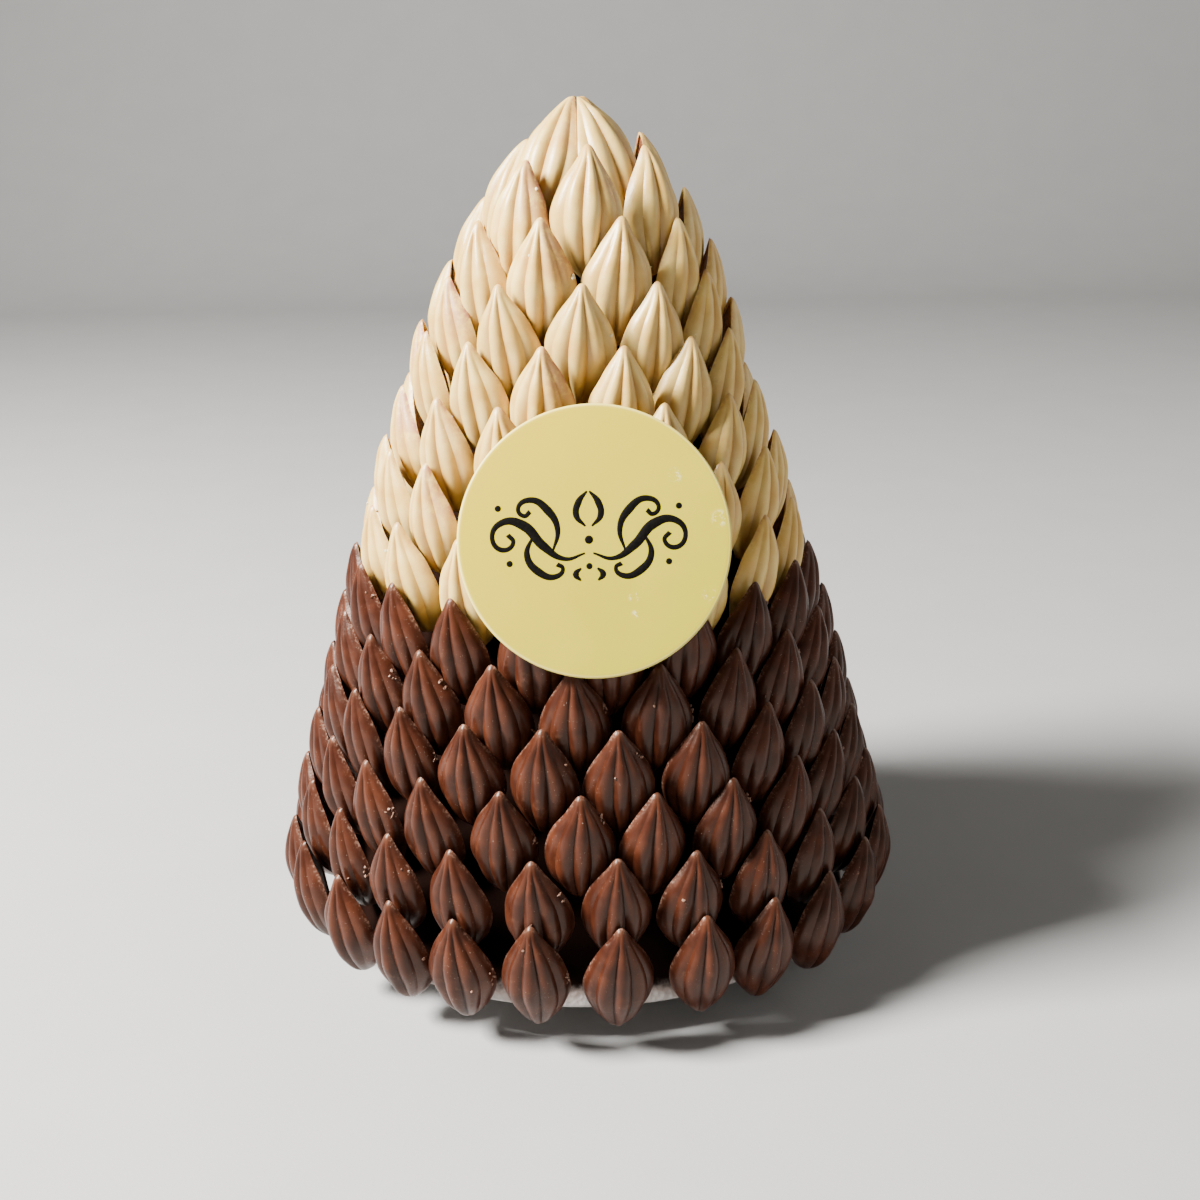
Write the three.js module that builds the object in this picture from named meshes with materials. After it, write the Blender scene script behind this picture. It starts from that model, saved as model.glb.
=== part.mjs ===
// Pyramid of fluted chocolate pods: rings of pods round a turned foam core, milk chocolate below and
// ivory chocolate above, four pods closing the top, and a round chocolate plaque leaning on the front.
// Millimetres, +Z up. The core's foot rests on z = 0, and the plaque faces -Y.

import * as THREE from 'three';

const degrees = THREE.MathUtils.degToRad;

// One pod, measured from its pointed tip down its flat back
const POD_LENGTH = 50;
const POD_HALF_WIDTH = 14;
const POD_DEPTH = 12;
const POD_WIDEST = 27.5; // distance of the widest place from the tip
const POD_FOOT_BLUNTNESS = 0.35; // share of a round outline in the lower end
const FLUTE_ANGLES = [-54, -36, -18, 0, 18, 36, 54]; // groove, ridge, groove ... across the belly
const SIDE_ANGLE = 72; // middle of the outermost lobe
const GROOVE_SHARE = 0.86; // a groove's reach, as a share of the ridge beside it
const SHOULDER = 16; // distance of the upper section from the tip
const BELLY = 34; // distance of the lower section from the tip
const TOUCH = 23; // where the edges of two neighbours begin to touch

// The tips of all tiers lie on one rounded cone
const CONE_HEIGHT = 358;
const TIP_CONE_ROUNDNESS = 42;
const TIP_CONE_SLOPE = 0.047;

// Tiers from the bottom up: pods, height of the tips, turn of the first pod from the front,
// and how far the pods lean outwards at their tips
const JOINED_TIERS = [
  { pods: 25, height: 59, turn: 6, lean: 15, chocolate: 'milk' },
  { pods: 24, height: 84, turn: 5.5, lean: 15, chocolate: 'milk' },
  { pods: 23, height: 107.5, turn: 14, lean: 15, chocolate: 'milk' },
  { pods: 22, height: 131, turn: 8, lean: 15, chocolate: 'milk' },
  { pods: 20, height: 153.5, turn: 17, lean: 15, chocolate: 'milk' },
  { pods: 19, height: 175.5, turn: 6.5, lean: 15, chocolate: 'milk' },
  { pods: 17, height: 197.5, turn: 11, lean: 15, chocolate: 'ivory' },
  { pods: 16, height: 221.5, turn: 20, lean: 13, chocolate: 'ivory' },
  { pods: 14, height: 245.5, turn: 2, lean: 13, chocolate: 'ivory' },
];

// The narrow tiers above them, whose pods are single pieces. Some were set higher (raised),
// nearer to the axis (drawnIn) or tipped inwards about their middles (tucked, in degrees).
const SINGLE_TIERS = [
  { pods: 13, height: 268, turn: 15.5, lean: 13, raised: { 3: 7.5 } },
  { pods: 11, height: 289.5, turn: 1.5, lean: 12, raised: { 3: 9.5, 8: 2 }, tucked: { 8: 10 } },
  {
    pods: 9,
    height: 311,
    turn: 22.5,
    lean: 9,
    raised: { 0: 2, 2: 9, 6: 6, 8: 2.5 },
    drawnIn: { 6: 4 },
    tucked: { 6: 8, 7: 3 },
  },
  {
    pods: 7,
    height: 337,
    turns: [9, 63, 117, 167, 218, 268, 321],
    lean: -3,
    raised: { 0: 2.5, 2: 4.5, 5: 3.6, 6: -3 },
    drawnIn: { 5: 7.5 },
    tucked: { 5: 7 },
  },
];

// The hand-set pods are a little uneven
const UNEVEN_TURN = 0.9;
const UNEVEN_HEIGHT = 0.8;
const UNEVEN_RADIUS = 0.35;

// The pods that close the top lean inwards until their tips meet
const TOP_PODS = 4;
const TOP_HEIGHT = 355.7;
const TOP_OFFSET = 1.5;
const TOP_LEAN = -23;
const TOP_FIRST_TURN = 45;
const TOP_TIP_RADIUS = 1;
const NEIGHBOUR_GAP = 0.3;

// Turned foam core on a round foot
const FOOT_RADIUS = 88;
const FOOT_HEIGHT = 14;
const CORE_EDGE_RADIUS = 115;
const CORE_EDGE_HEIGHT = 15;
const CORE_TOP_RADIUS = 14;
const CORE_TOP_HEIGHT = 308;
const CORE_CLEARANCE = 1.2;
const CORE_TIERS = [1, 4, 8, 11]; // the tiers whose lower ends shape the core's wall
const CORE_SIDES = 16;

// Round plaque
const PLAQUE_RADIUS = 51;
const PLAQUE_THICKNESS = 4;
const PLAQUE_RIM_BULGE = 0.7;
const PLAQUE_HEIGHT = 199;
const PLAQUE_REACH = 91.6; // distance of its middle from the axis
const PLAQUE_OFFSET = 5.5;
const PLAQUE_LEAN = 18;
const PLAQUE_SIDES = 32;

const chocolates = {
  milk: new THREE.MeshStandardMaterial({ color: 0x7a4a35, roughness: 0.42, metalness: 0 }),
  ivory: new THREE.MeshStandardMaterial({ color: 0xe4cf9f, roughness: 0.5, metalness: 0 }),
};
const foam = new THREE.MeshStandardMaterial({ color: 0xe2e0dc, roughness: 0.9, metalness: 0 });
const plaqueChocolate = new THREE.MeshStandardMaterial({ color: 0xe6d694, roughness: 0.38, metalness: 0 });

// Even, repeatable scatter between -1 and 1
function scatter(seed) {
  const wave = Math.sin(seed * 12.9898) * 43758.5453;
  return 2 * (wave - Math.floor(wave)) - 1;
}

function tipRadius(height) {
  const drop = CONE_HEIGHT - height;
  return Math.sqrt(drop * (TIP_CONE_ROUNDNESS + TIP_CONE_SLOPE * drop));
}

function podHalfWidth(distance) {
  if (distance <= POD_WIDEST) {
    return POD_HALF_WIDTH * Math.sin((Math.PI / 2) * (distance / POD_WIDEST));
  }
  const share = (distance - POD_WIDEST) / (POD_LENGTH - POD_WIDEST);
  const pointed = Math.cos((Math.PI / 2) * share);
  const round = Math.sqrt(1 - share * share);
  return POD_HALF_WIDTH * (pointed + POD_FOOT_BLUNTNESS * (round - pointed));
}

function podDepth(distance) {
  if (distance <= POD_WIDEST) {
    return POD_DEPTH * Math.sin((Math.PI / 2) * (distance / POD_WIDEST)) ** 0.8;
  }
  const share = (distance - POD_WIDEST) / (POD_LENGTH - POD_WIDEST);
  return POD_DEPTH * Math.sqrt(1 - share * share);
}

// A pod's own frame has its tip at the origin, its belly to -Y and its foot down.
// It stands at a turn round the axis, with its tip at a radius and height, and leans.
function podPlace(pod) {
  const turn = degrees(pod.turn);
  const position = new THREE.Vector3(pod.radius * Math.sin(turn), -pod.radius * Math.cos(turn), pod.height);
  const rotation = new THREE.Euler(degrees(pod.lean), 0, turn, 'ZXY');
  return { position, rotation };
}

function podMatrix(pod) {
  const { position, rotation } = podPlace(pod);
  const matrix = new THREE.Matrix4().makeRotationFromEuler(rotation);
  return matrix.setPosition(position);
}

// The place of a point on a pod: across the pod, out of its back, and down from its tip
function onPod(across, out, down) {
  return new THREE.Vector3(across, -out, -down);
}

// A point on a pod's middle line, moved sideways on to the plane midway between two neighbours
function betweenPods(pod, out, down, halfPitch) {
  const middle = onPod(0, out, down).applyMatrix4(podMatrix(pod));
  const reach = Math.hypot(middle.x, middle.y) / Math.cos(halfPitch);
  const turn = degrees(pod.turn) + halfPitch;
  return new THREE.Vector3(reach * Math.sin(turn), -reach * Math.cos(turn), middle.z);
}

function sectionPoint(distance, angle, share) {
  const across = podHalfWidth(distance) * Math.sin(degrees(angle)) * share;
  const out = podDepth(distance) * Math.cos(degrees(angle)) * share;
  return { across, out };
}

function flutedSection(distance) {
  return FLUTE_ANGLES.map((angle, index) => {
    const share = index % 2 === 0 ? GROOVE_SHARE : 1;
    return sectionPoint(distance, angle, share);
  });
}

// A mesh under construction: points, and triangles that turn anticlockwise seen from outside
class Solid {
  constructor() {
    this.points = [];
    this.triangles = [];
  }

  point(vector) {
    this.points.push(vector.x, vector.y, vector.z);
    return this.points.length / 3 - 1;
  }

  face(...corners) {
    for (let corner = 1; corner < corners.length - 1; corner += 1) {
      this.triangles.push(corners[0], corners[corner], corners[corner + 1]);
    }
  }

  // Faces between an upper and a lower row of as many points
  band(upper, lower) {
    for (let column = 0; column < upper.length - 1; column += 1) {
      this.face(upper[column], lower[column], lower[column + 1], upper[column + 1]);
    }
  }

  geometry() {
    const geometry = new THREE.BufferGeometry();
    geometry.setAttribute('position', new THREE.Float32BufferAttribute(this.points, 3));
    geometry.setIndex(this.triangles);
    geometry.computeVertexNormals();
    return geometry;
  }
}

// One pod between its left and right touching places, each with the points touch, edge and side
function addPod(solid, place, left, right) {
  const tip = solid.point(place(0, 0, 0));
  const foot = solid.point(place(0, 0, POD_LENGTH));
  const row = (distance) => flutedSection(distance).map(({ across, out }) => (
    solid.point(place(across, out, distance))
  ));
  const shoulderWidth = podHalfWidth(SHOULDER);
  const shoulderLeft = solid.point(place(-shoulderWidth, 0, SHOULDER));
  const shoulderRight = solid.point(place(shoulderWidth, 0, SHOULDER));
  const shoulder = row(SHOULDER);
  const belly = row(BELLY);
  const last = shoulder.length - 1;

  // fluted belly
  const crest = [shoulderLeft, ...shoulder, shoulderRight];
  const hem = [left.edge, left.side, ...belly, right.side, right.edge];
  for (let column = 0; column < crest.length - 1; column += 1) {
    solid.face(tip, crest[column], crest[column + 1]);
  }
  solid.face(shoulder[0], shoulderLeft, left.touch, left.side, belly[0]);
  solid.band(shoulder, belly);
  solid.face(shoulder[last], belly[last], right.side, right.touch, shoulderRight);
  for (let column = 0; column < hem.length - 1; column += 1) {
    solid.face(hem[column], foot, hem[column + 1]);
  }

  // flat back
  solid.face(tip, shoulderRight, shoulderLeft);
  solid.face(shoulderLeft, shoulderRight, right.touch, left.touch);
  solid.face(left.touch, right.touch, right.edge, left.edge);
  solid.face(left.edge, right.edge, foot);
}

// The pods of a tier, their heights counted from the tier's own
function tierPods(tier, tierNumber) {
  const pods = [];
  for (let index = 0; index < tier.pods; index += 1) {
    const seed = tierNumber * 100 + index;
    const turn = tier.turns ? tier.turns[index] : tier.turn + (360 / tier.pods) * index;
    const lean = tier.lean - (tier.tucked?.[index] ?? 0);
    const tipIn = (POD_LENGTH / 2) * (Math.sin(degrees(tier.lean)) - Math.sin(degrees(lean)));
    const radius = tipRadius(tier.height) + UNEVEN_RADIUS * scatter(seed + 0.3);
    pods.push({
      turn: turn + UNEVEN_TURN * scatter(seed),
      radius: radius - (tier.drawnIn?.[index] ?? 0) - tipIn,
      height: UNEVEN_HEIGHT * scatter(seed + 0.6) + (tier.raised?.[index] ?? 0),
      lean,
    });
  }
  return pods;
}

// A ring of pods, each touching the next beside its belly, with its tips about z = 0
function joinedTierGeometry(pods) {
  const solid = new Solid();
  const touches = pods.map((pod, index) => {
    const next = pods[(index + 1) % pods.length];
    const pitch = (next.turn - pod.turn + 360) % 360;
    const halfPitch = degrees(pitch / 2);
    const shared = (out, down) => {
      const fromPod = betweenPods(pod, out, down, halfPitch);
      const fromNext = betweenPods(next, out, down, -halfPitch);
      return solid.point(fromPod.lerp(fromNext, 0.5));
    };
    return {
      touch: shared(0, TOUCH),
      edge: shared(0, BELLY),
      side: shared(sectionPoint(BELLY, SIDE_ANGLE, 1).out, BELLY),
    };
  });

  pods.forEach((pod, index) => {
    const before = touches[(index + pods.length - 1) % pods.length];
    const matrix = podMatrix(pod);
    const place = (across, out, down) => onPod(across, out, down).applyMatrix4(matrix);
    addPod(solid, place, before, touches[index]);
  });
  return solid.geometry();
}

// A single pod in its own frame. The half-width allowed at a point is given by halfRoom.
function podGeometry(halfRoom) {
  const solid = new Solid();
  const place = (across, out, down) => {
    const room = halfRoom(out, down);
    return onPod(THREE.MathUtils.clamp(across, -room, room), out, down);
  };
  const flank = (direction) => {
    const side = sectionPoint(BELLY, SIDE_ANGLE, 1);
    return {
      touch: solid.point(place(direction * podHalfWidth(TOUCH), 0, TOUCH)),
      edge: solid.point(place(direction * podHalfWidth(BELLY), 0, BELLY)),
      side: solid.point(place(direction * side.across, side.out, BELLY)),
    };
  };
  const left = flank(-1);
  const right = flank(1);
  addPod(solid, place, left, right);
  solid.face(left.touch, left.edge, left.side);
  solid.face(right.touch, right.side, right.edge);
  return solid.geometry();
}

function freePodGeometry() {
  return podGeometry(() => POD_HALF_WIDTH);
}

// The top pods are trimmed to the quarter that each has
function topPodGeometry() {
  const lean = degrees(TOP_LEAN);
  return podGeometry((out, down) => {
    const reach = TOP_TIP_RADIUS - down * Math.sin(lean) + out * Math.cos(lean);
    return reach - NEIGHBOUR_GAP * Math.SQRT1_2;
  });
}

// Turned about +Z from an outline of radii and heights
function turned(outline, sides) {
  const points = outline.map(([radius, height]) => new THREE.Vector2(radius, height));
  const geometry = new THREE.LatheGeometry(points, sides);
  geometry.rotateX(Math.PI / 2);
  return geometry;
}

function coreGeometry() {
  const wall = CORE_TIERS.map((number) => {
    const tier = [...JOINED_TIERS, ...SINGLE_TIERS][number];
    const lean = degrees(tier.lean);
    const radius = tipRadius(tier.height) - POD_LENGTH * Math.sin(lean) - CORE_CLEARANCE;
    return [radius, tier.height - POD_LENGTH * Math.cos(lean)];
  });
  const outline = [
    [0, 0],
    [FOOT_RADIUS, 0],
    [FOOT_RADIUS, FOOT_HEIGHT],
    [CORE_EDGE_RADIUS, CORE_EDGE_HEIGHT],
    ...wall,
    [CORE_TOP_RADIUS, CORE_TOP_HEIGHT],
    [0, CORE_TOP_HEIGHT],
  ];
  return turned(outline, CORE_SIDES);
}

function plaqueGeometry() {
  const half = PLAQUE_THICKNESS / 2;
  const face = PLAQUE_RADIUS - PLAQUE_RIM_BULGE;
  const outline = [
    [0, -half],
    [face, -half],
    [PLAQUE_RADIUS, 0],
    [face, half],
    [0, half],
  ];
  return turned(outline, PLAQUE_SIDES);
}

function named(name, geometry, material) {
  const mesh = new THREE.Mesh(geometry, material);
  mesh.name = name;
  return mesh;
}

function twoDigits(number) {
  return String(number).padStart(2, '0');
}

const pyramid = new THREE.Group();

pyramid.add(named('core', coreGeometry(), foam));

JOINED_TIERS.forEach((tier, index) => {
  const number = index + 1;
  const geometry = joinedTierGeometry(tierPods(tier, number));
  const mesh = named(`tier_${twoDigits(number)}_${tier.chocolate}`, geometry, chocolates[tier.chocolate]);
  mesh.position.z = tier.height;
  pyramid.add(mesh);
});

SINGLE_TIERS.forEach((tier, index) => {
  const number = JOINED_TIERS.length + index + 1;
  const ring = new THREE.Group();
  ring.position.z = tier.height;
  tierPods(tier, number).forEach((pod, podIndex) => {
    const name = `tier_${twoDigits(number)}_pod_${twoDigits(podIndex + 1)}`;
    const mesh = named(name, freePodGeometry(), chocolates.ivory);
    const { position, rotation } = podPlace(pod);
    mesh.position.copy(position);
    mesh.rotation.copy(rotation);
    ring.add(mesh);
  });
  pyramid.add(ring);
});

const crown = new THREE.Group();
crown.position.set(TOP_OFFSET, 0, TOP_HEIGHT);
for (let index = 0; index < TOP_PODS; index += 1) {
  const mesh = named(`top_pod_${index + 1}`, topPodGeometry(), chocolates.ivory);
  const turn = TOP_FIRST_TURN + (360 / TOP_PODS) * index;
  const { position, rotation } = podPlace({ turn, radius: TOP_TIP_RADIUS, height: 0, lean: TOP_LEAN });
  mesh.position.copy(position);
  mesh.rotation.copy(rotation);
  crown.add(mesh);
}
pyramid.add(crown);

// The plaque's flat faces stand upright, then lean back on the pods' tips
const plaqueStand = new THREE.Group();
plaqueStand.position.set(PLAQUE_OFFSET, -PLAQUE_REACH, PLAQUE_HEIGHT);
plaqueStand.rotation.x = degrees(90 - PLAQUE_LEAN);
plaqueStand.add(named('plaque', plaqueGeometry(), plaqueChocolate));
pyramid.add(plaqueStand);

export default pyramid;
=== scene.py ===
# Chocolate pyramid: rings of fluted pods, milk chocolate below and ivory chocolate above, round a
# foam core, with four pods closing the top and a round plaque with a scroll leaning on the front.
from math import atan2, cos, degrees, exp, floor, pi, radians, sin, sqrt

import bmesh
import bpy
from mathutils import Matrix, Vector, noise


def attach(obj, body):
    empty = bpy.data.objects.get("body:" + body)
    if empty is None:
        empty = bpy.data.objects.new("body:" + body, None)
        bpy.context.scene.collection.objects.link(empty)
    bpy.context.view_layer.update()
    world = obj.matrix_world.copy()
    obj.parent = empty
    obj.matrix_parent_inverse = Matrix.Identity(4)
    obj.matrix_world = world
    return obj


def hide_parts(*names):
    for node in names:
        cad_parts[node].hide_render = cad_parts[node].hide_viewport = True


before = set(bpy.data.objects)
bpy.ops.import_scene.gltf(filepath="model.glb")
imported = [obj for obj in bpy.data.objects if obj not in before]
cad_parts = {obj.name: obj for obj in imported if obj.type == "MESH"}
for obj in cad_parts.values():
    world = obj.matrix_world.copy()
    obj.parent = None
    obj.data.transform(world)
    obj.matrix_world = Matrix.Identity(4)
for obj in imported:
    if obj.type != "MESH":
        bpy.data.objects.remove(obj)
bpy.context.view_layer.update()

MM = 0.001
NEAR = 0.01                       # millimetres within which two places are the same

# ---------------------------------------------------------------- sizes, in millimetres

# One pod, measured from its blunt tip down its flat back
POD_LENGTH = 50
POD_HALF_WIDTH = 14
POD_DEPTH = 12
POD_WIDEST = 27.5
POD_FOOT_BLUNTNESS = 0.35         # share of a round outline in the lower end
POD_TAPER = 1.12                  # above 1, the sides are drawn in below the tip
POD_SHOULDER = 0.8                # below 1, the belly is full close below the tip
NIB_WIDTH = 1.0
NIB_PLACE = 1
NIB_SPREAD = 3
POD_COLUMNS = 40                  # points round a whole section
LOBE_ANGLE = 36                   # from one groove to the next
GROOVE_ANGLES = (18, 54)
GROOVE_FULLNESS = (1, 0.6)        # how much painted shade each groove takes; the creases follow the same share
CREASED_ABOVE = 0.55              # share of a groove above which its edges stay sharp
# Radii by angle from the middle ridge, as shares of the plain section's: a raised middle lobe
# between two creases, then a broad lobe with a shallower groove, then the lip at the flat back
SECTION_SHARES = {0: 1.03, 9: 1.0, 18: 0.83, 27: 0.945, 36: 0.995, 45: 0.98, 54: 0.9, 63: 0.97,
                  72: 1.0, 81: 0.995, 90: 1.0}
POD_SECTIONS = (0.7, 2.2, 4.5, 7.5, 11, 15, 19.5, 24, 28.5, 33, 37.5, 41.5, 45, 47.6, 49.3)
FLUTES_BEGIN = 2.2
FLUTES_DEEP = 7
FLUTES_SHALLOW = 44
FLUTES_END = 49.6
RIM_WIDTH = 1.0
BACK_RECESS = 0.8
BACK_SLOPE = 0.25
RIM_BAND = 4.0                    # strip along the rim that chips and stains, and on the milk pods takes a painted highlight

# The tips of all tiers lie on one rounded cone
CONE_HEIGHT = 358
TIP_CONE_ROUNDNESS = 42
TIP_CONE_SLOPE = 0.047

# Tiers from the bottom up: pods, height of the tips, turn of the first pod from the front in degrees,
# and how far the pods lean outwards at their tips. Some pods, counted from 0, are raised, drawn in
# (millimetres), tucked (tipped inwards), swung sideways or rolled about their length (degrees).
TIERS = (
    dict(pods=25, height=59, turn=6, lean=15),
    dict(pods=24, height=84, turn=5.5, lean=15),
    dict(pods=23, height=107.5, turn=14, lean=15),
    dict(pods=22, height=131, turn=8, lean=15),
    dict(pods=20, height=153.5, turn=17, lean=15),
    dict(pods=19, height=175.5, turn=6.5, lean=15),
    dict(pods=17, height=197.5, turn=11, lean=15),
    dict(pods=16, height=221.5, turn=20, lean=13),
    dict(pods=14, height=245.5, turn=2, lean=13),
    dict(pods=13, height=268, turn=15.5, lean=13, raised={3: 7.5}),
    dict(pods=11, height=289.5, turn=1.5, lean=12, raised={3: 9.5, 8: 2}, tucked={8: 11}),
    dict(pods=9, height=311, turn=22.5, lean=9, raised={0: 2, 2: 9, 6: 6, 8: 2.5},
         drawn_in={6: 4}, tucked={6: 14, 7: 3}, swung={0: 2.5}, size=1.05),
    dict(pods=7, height=337, turns=(9, 63, 117, 167, 218, 268, 321), lean=-3,
         raised={0: 2.5, 2: 4.5, 5: 3.6, 6: -3}, drawn_in={5: 8}, tucked={5: 11}, swung={0: 4},
         rolled={1: -12}, size=1.04),
)
MILK_TIERS = 6
JOINED_TIERS = 9                  # tiers that are one node each

# The hand-set pods are a little uneven
UNEVEN_TURN = 0.9
UNEVEN_HEIGHT = 0.8
UNEVEN_RADIUS = 0.35
UNEVEN_ROLL = 8
UNEVEN_TILT = 2.5
UNEVEN_SIZE = 0.02                # share of the width
UNEVEN_SKIN = 0.55
UNEVEN_SPAN = 10                  # size of the dents in the skin
UNEVEN_TIP = 1.0

# Crumbs of chocolate that stick to the pods: a run of them along a rim, and a few on the belly
CRUMB_RADIUS = 0.65
CRUMB_SPREAD = 0.5
CRUMB_JITTER = 1.2
CRUMB_MARK = 2                    # rim mark on all points of a crumb
CRUMB_RIM = (0.15, 0.8001)        # rim marks between which the runs lie: the recess's edge has 0.8
CRUMB_REACH = (10, 34)            # distances from the tip between which they lie
BELLY_MARK = 0.05                 # rim mark below which a point is on the belly
MILK_CRUMB_RUN = 6
IVORY_CRUMB_RUN = 2

# The pods that close the top lean inwards until their tips meet
TOP_PODS = 4
TOP_HEIGHT = 355.7
TOP_OFFSET = 1.5
TOP_LEAN = -23
TOP_FIRST_TURN = 45
TOP_TIP_RADIUS = 1
TOP_SIZE = 1.14
TOP_SEED = 1400
NEIGHBOUR_GAP = 0.3

# Turned foam core on a round foot
FOOT_RADIUS = 88
FOOT_HEIGHT = 14
CORE_EDGE_RADIUS = 115
CORE_EDGE_HEIGHT = 15
CORE_TOP_RADIUS = 14
CORE_TOP_HEIGHT = 308
CORE_CLEARANCE = 1.2
CORE_TIERS = (1, 4, 8, 11)        # the tiers, from 0, whose lower ends shape the core's wall
CORE_SIDES = 96
CORE_ROUNDING = 1.5

# Round plaque
PLAQUE_RADIUS = 51
PLAQUE_THICKNESS = 4
PLAQUE_ROUNDING = 0.9
PLAQUE_BORDER = 1.2
PLAQUE_HEIGHT = 199
PLAQUE_REACH = 91.6               # distance of its middle from the axis
PLAQUE_OFFSET = 5.5
PLAQUE_LEAN = 18
PLAQUE_SIDES = 160

# The scroll printed on the plaque, drawn for its right half: pen strokes through points on the
# plaque's face, each with its distance right of and above the middle and the pen's width
SCROLL_MIDDLE = (-2, 2)
SCROLL_RELIEF = 0.12
SCROLL_PEN = 1.5
SCROLL_STROKES = (
    ((1.5, -6.5, 0.5), (9, -8.5, 1.1), (17, -3.5, 2.3), (24, 4, 2.5), (31.5, 5.5, 1.7),
     (35.8, 0.3, 1.2), (32.3, -4.8, 1.3), (28, -2.2, 1.1), (30, 0.8, 1.2)),
    ((13.5, -6, 0.5), (11.5, 2.5, 1.4), (15, 9.5, 2.1), (21.5, 13.5, 1.5), (26, 10.5, 1.1),
     (23.8, 7.6, 1.1), (21.6, 9.2, 1.2)),
    ((20.5, 0.5, 0.5), (23, -7, 1.6), (19, -13, 2.0), (12.5, -15, 1.4), (9.8, -12, 1.0),
     (12, -10.4, 1.2)),
    ((1.2, 3.5, 0.5), (4.5, 7.5, 1.6), (3.6, 12.5, 1.7), (0.4, 16.5, 0.5)),
    ((3, -12, 0.5), (5, -14.3, 1.7), (3.2, -16.6, 0.5)),
)
SCROLL_DOTS = ((0, -1.5, 3.2), (0, -11.3, 2.4), (33.5, 10.5, 2.4), (29.5, -10, 2.4))
# Rubbed spots on the plaque: distance right of and above the middle, and radius
PLAQUE_SCUFFS = ((14.3, -21, 2.6), (14.9, -27.3, 2), (42.4, -20.8, 3.6), (46.6, 7.7, 4),
                 (30.3, 23.8, 3.4))

# Camera, lights and floor
CAMERA_PLACE = (7.2, -685.3, 371.6)
CAMERA_DIP = 18.24
CAMERA_ROLL = -1.01
CAMERA_LENS = 49.95
CAMERA_SENSOR = 36
LIGHTS_AIM = (0, 0, 150)
KEY_PLACE = (-1230, -420, 1330)
KEY_SIZE = 0.5                    # metres, as for the other light
KEY_POWER = 230
KEY_COLOUR = (1, 0.97, 0.93)
FILL_PLACE = (1350, 250, 850)
FILL_SIZE = 1.4
FILL_POWER = 7
FILL_COLOUR = (1, 0.96, 0.92)
ROOM_LIGHT = 0.03
ROOM_COLOUR = (1, 0.96, 0.92, 1)
FLOOR_HALF = 2600
BACKDROP_HEIGHT = 2200
BACKDROP_BEND = 700
BACKDROP_STEPS = 16


def scatter(seed):
    """Even, repeatable scatter between -1 and 1."""
    wave = sin(seed * 12.9898) * 43758.5453
    return 2 * (wave - floor(wave)) - 1


def lot(seed):
    """The same scatter, between 0 and 1."""
    return 0.5 + 0.5 * scatter(seed)


def tip_radius(height):
    """How far from the axis the tips are at a height."""
    drop = CONE_HEIGHT - height
    return sqrt(drop * (TIP_CONE_ROUNDNESS + TIP_CONE_SLOPE * drop))


def pod_half_width(distance):
    """A pod's half width at a distance from its tip, before the grooves."""
    if distance <= POD_WIDEST:
        nib = NIB_WIDTH * exp(-((distance - NIB_PLACE) / NIB_SPREAD) ** 2)
        return POD_HALF_WIDTH * sin(pi / 2 * distance / POD_WIDEST) ** POD_TAPER + nib
    share = (distance - POD_WIDEST) / (POD_LENGTH - POD_WIDEST)
    pointed = cos(pi / 2 * share)
    rounded = sqrt(1 - share * share)
    return POD_HALF_WIDTH * (pointed + POD_FOOT_BLUNTNESS * (rounded - pointed))


def pod_depth(distance):
    """How far the belly stands out from the back at a distance from the tip."""
    if distance <= POD_WIDEST:
        return POD_DEPTH * sin(pi / 2 * distance / POD_WIDEST) ** POD_SHOULDER
    share = (distance - POD_WIDEST) / (POD_LENGTH - POD_WIDEST)
    return POD_DEPTH * sqrt(1 - share * share)


# ---------------------------------------------------------------- making by hand

def only(*pieces):
    """Makes these the selected pieces, the first of them the active one."""
    bpy.ops.object.select_all(action="DESELECT")
    for piece in pieces:
        piece.select_set(True)
    bpy.context.view_layer.objects.active = pieces[0]


def begin(primitive, name, **how):
    """Adds a primitive with nothing else selected, with its place in its mesh, ready to edit."""
    bpy.ops.object.select_all(action="DESELECT")
    primitive(**how)
    piece = bpy.context.object
    piece.name = name
    piece.data.name = name
    settle(piece)
    bpy.ops.object.mode_set(mode="EDIT")
    bpy.ops.mesh.select_all(action="SELECT")
    return piece


def done():
    """Turns all faces outwards and leaves edit mode."""
    bpy.ops.mesh.select_all(action="SELECT")
    bpy.ops.mesh.normals_make_consistent(inside=False)
    bpy.ops.object.mode_set(mode="OBJECT")


def pick(kind, test):
    """Selects only the corners ("VERT"), edges ("EDGE") or faces ("FACE") whose middle passes."""
    bpy.ops.mesh.select_mode(type=kind)
    bpy.ops.mesh.select_all(action="DESELECT")
    mesh = bmesh.from_edit_mesh(bpy.context.object.data)
    parts = dict(VERT=mesh.verts, EDGE=mesh.edges, FACE=mesh.faces)[kind]
    for part in parts:
        corners = [part] if kind == "VERT" else part.verts
        middle = sum((corner.co for corner in corners), Vector()) / len(corners)
        part.select_set(test(middle / MM))
    bmesh.update_edit_mesh(bpy.context.object.data)


def stretch(x, y, z=1):
    """Scales what is selected about the origin."""
    bpy.ops.transform.resize(value=(x, y, z), center_override=(0, 0, 0))


def draw_out(z):
    """Extrudes the selected ring of edges upwards, in millimetres."""
    bpy.ops.mesh.extrude_edges_move(TRANSFORM_OT_translate={"value": (0, 0, z * MM)})


def close_ring(z):
    """Closes the selected ring with a point in its middle, that far above it."""
    draw_out(z)
    bpy.ops.mesh.merge(type="CENTER")


def finish_with(piece, kind, **settings):
    """Adds a modifier and applies it."""
    only(piece)
    modifier = piece.modifiers.new(kind.title(), kind)
    for name, value in settings.items():
        setattr(modifier, name, value)
    bpy.ops.object.modifier_apply(modifier=modifier.name)


def settle(*pieces):
    """Leaves the objects at the origin, with their places in their meshes."""
    only(*pieces)
    bpy.ops.object.transform_apply(location=True, rotation=True, scale=True)


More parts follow.
